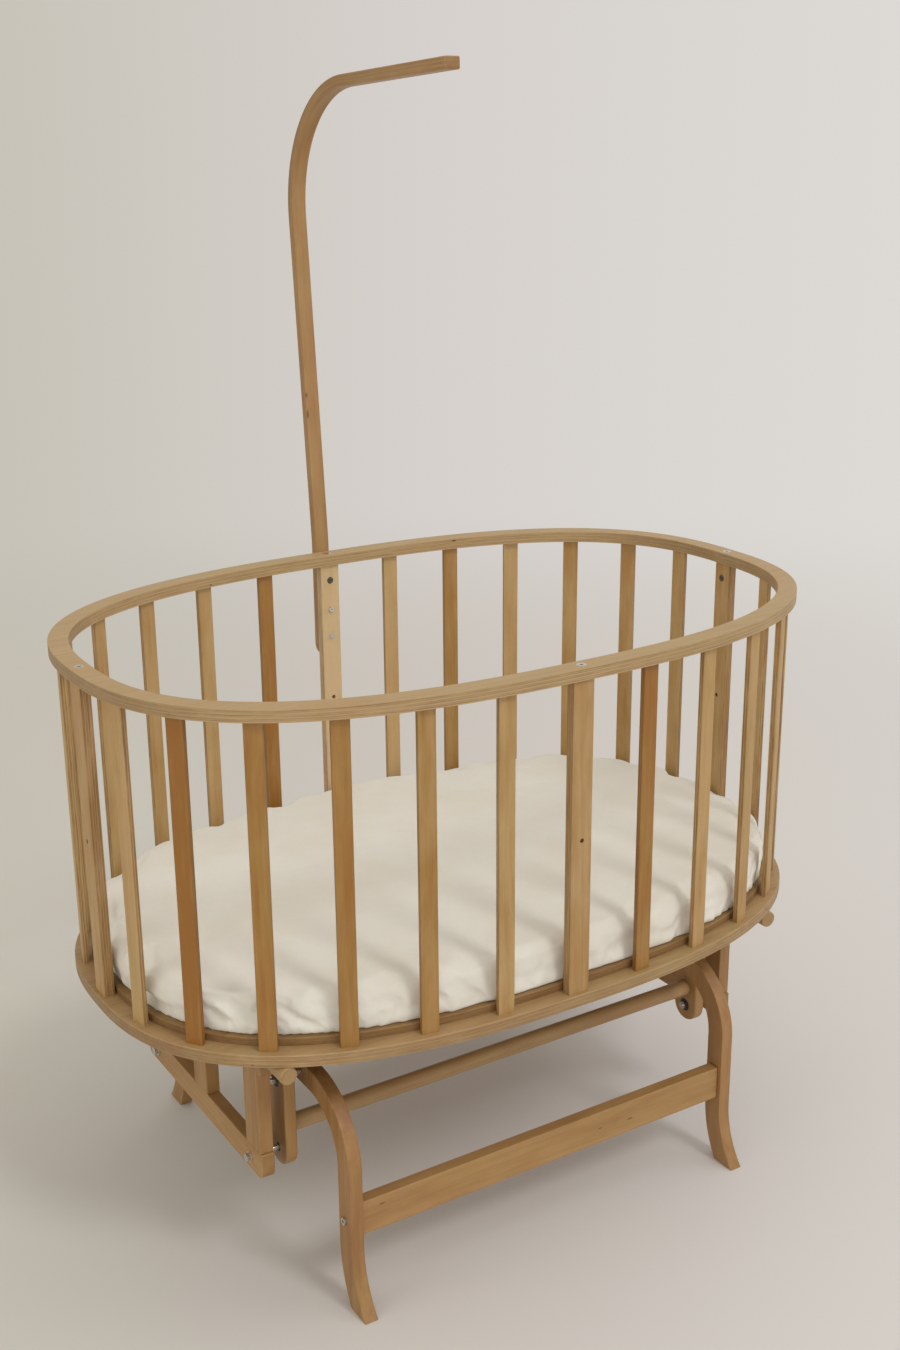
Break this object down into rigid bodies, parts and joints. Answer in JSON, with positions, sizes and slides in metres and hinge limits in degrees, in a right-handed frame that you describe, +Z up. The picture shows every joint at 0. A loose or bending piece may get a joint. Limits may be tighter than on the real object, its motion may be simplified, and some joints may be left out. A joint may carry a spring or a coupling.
{
  "type": "gliding cradle on a stand",
  "caption": "Oval slatted baby cradle with mattress and canopy bar, hung from a footed wooden stand on short links so that it glides front to back.",
  "frame": {"origin": "on the floor, under the middle of the whole outline, canopy bar included", "axes": "+X along the cradle to its right end, -Y towards the front, +Z up; the canopy bar stands at the back, +Y"},
  "size_m": [1, 0.6993, 1.4575],
  "materials": {
    "rim_ply": "satin lacquered beech plywood, laminations on the edge",
    "slat_wood": "satin lacquered beech, straight grain",
    "post_wood": "satin lacquered beech",
    "board_ply": "plain beech plywood",
    "bar_laminate": "satin lacquered bent beech laminate",
    "frame_wood": "satin lacquered beech",
    "rod_wood": "turned beech rod, satin",
    "mattress_cloth": "cream cotton fitted sheet over a foam mattress",
    "zinc": "zinc plated",
    "bearing": "steel ring with dark seals"
  },
  "bodies": {
    "stand": {"left_arch": "frame_wood", "right_arch": "frame_wood", "front_stretcher": "frame_wood", "rear_stretcher": "frame_wood", "upper_pivot_bolts": "zinc", "stretcher_bolts": "zinc"},
    "front_links": {"left_front_link": "frame_wood", "right_front_link": "frame_wood", "front_sync_rod": "rod_wood", "front_link_bearings": "bearing"},
    "rear_links": {"left_rear_link": "frame_wood", "right_rear_link": "frame_wood", "rear_sync_rod": "rod_wood", "rear_link_bearings": "bearing"},
    "basket": {"top_rim": "rim_ply", "bottom_rim": "rim_ply", "slat_01": "slat_wood", "slat_02": "slat_wood", "slat_03": "slat_wood", "slat_04": "slat_wood", "slat_05": "slat_wood", "slat_06": "slat_wood", "slat_07": "slat_wood", "slat_08": "slat_wood", "slat_09": "slat_wood", "slat_10": "slat_wood", "slat_11": "slat_wood", "slat_12": "slat_wood", "slat_13": "slat_wood", "slat_14": "slat_wood", "slat_15": "slat_wood", "slat_16": "slat_wood", "slat_17": "slat_wood", "slat_18": "slat_wood", "slat_19": "slat_wood", "slat_20": "slat_wood", "slat_21": "slat_wood", "slat_22": "slat_wood", "slat_23": "slat_wood", "slat_24": "slat_wood", "left_post": "post_wood", "front_post": "post_wood", "right_post": "post_wood", "back_post": "post_wood", "base_board": "board_ply", "mattress": "mattress_cloth", "canopy_bar": "bar_laminate", "canopy_screws": "zinc", "rim_screws": "zinc", "barrel_nuts": "zinc", "left_rest_rod": "rod_wood", "right_rest_rod": "rod_wood", "left_hanger_cap": "frame_wood", "right_hanger_cap": "frame_wood", "left_hanger_rail": "frame_wood", "right_hanger_rail": "frame_wood", "left_hanger_posts": "frame_wood", "right_hanger_posts": "frame_wood", "hanger_screws": "zinc", "lower_pivot_bolts": "zinc"}
  },
  "joints": [
    {"name": "front_swing", "type": "hinge", "parent": "stand", "child": "front_links", "pos_m": [0, -0.17271, 0.273], "axis": [1, 0, 0], "range_deg": [-20, 20]},
    {"name": "basket_level", "type": "hinge", "parent": "front_links", "child": "basket", "pos_m": [0, -0.17271, 0.177], "axis": [1, 0, 0], "range_deg": [-20, 20]},
    {"name": "rear_swing", "type": "hinge", "parent": "stand", "child": "rear_links", "pos_m": [0, 0.12129, 0.273], "axis": [1, 0, 0], "range_deg": [-20, 20]}
  ],
  "couplings": [
    {"joint": "basket_level", "follows": "front_swing", "ratio": -1},
    {"joint": "rear_swing", "follows": "front_swing", "ratio": 1}
  ]
}
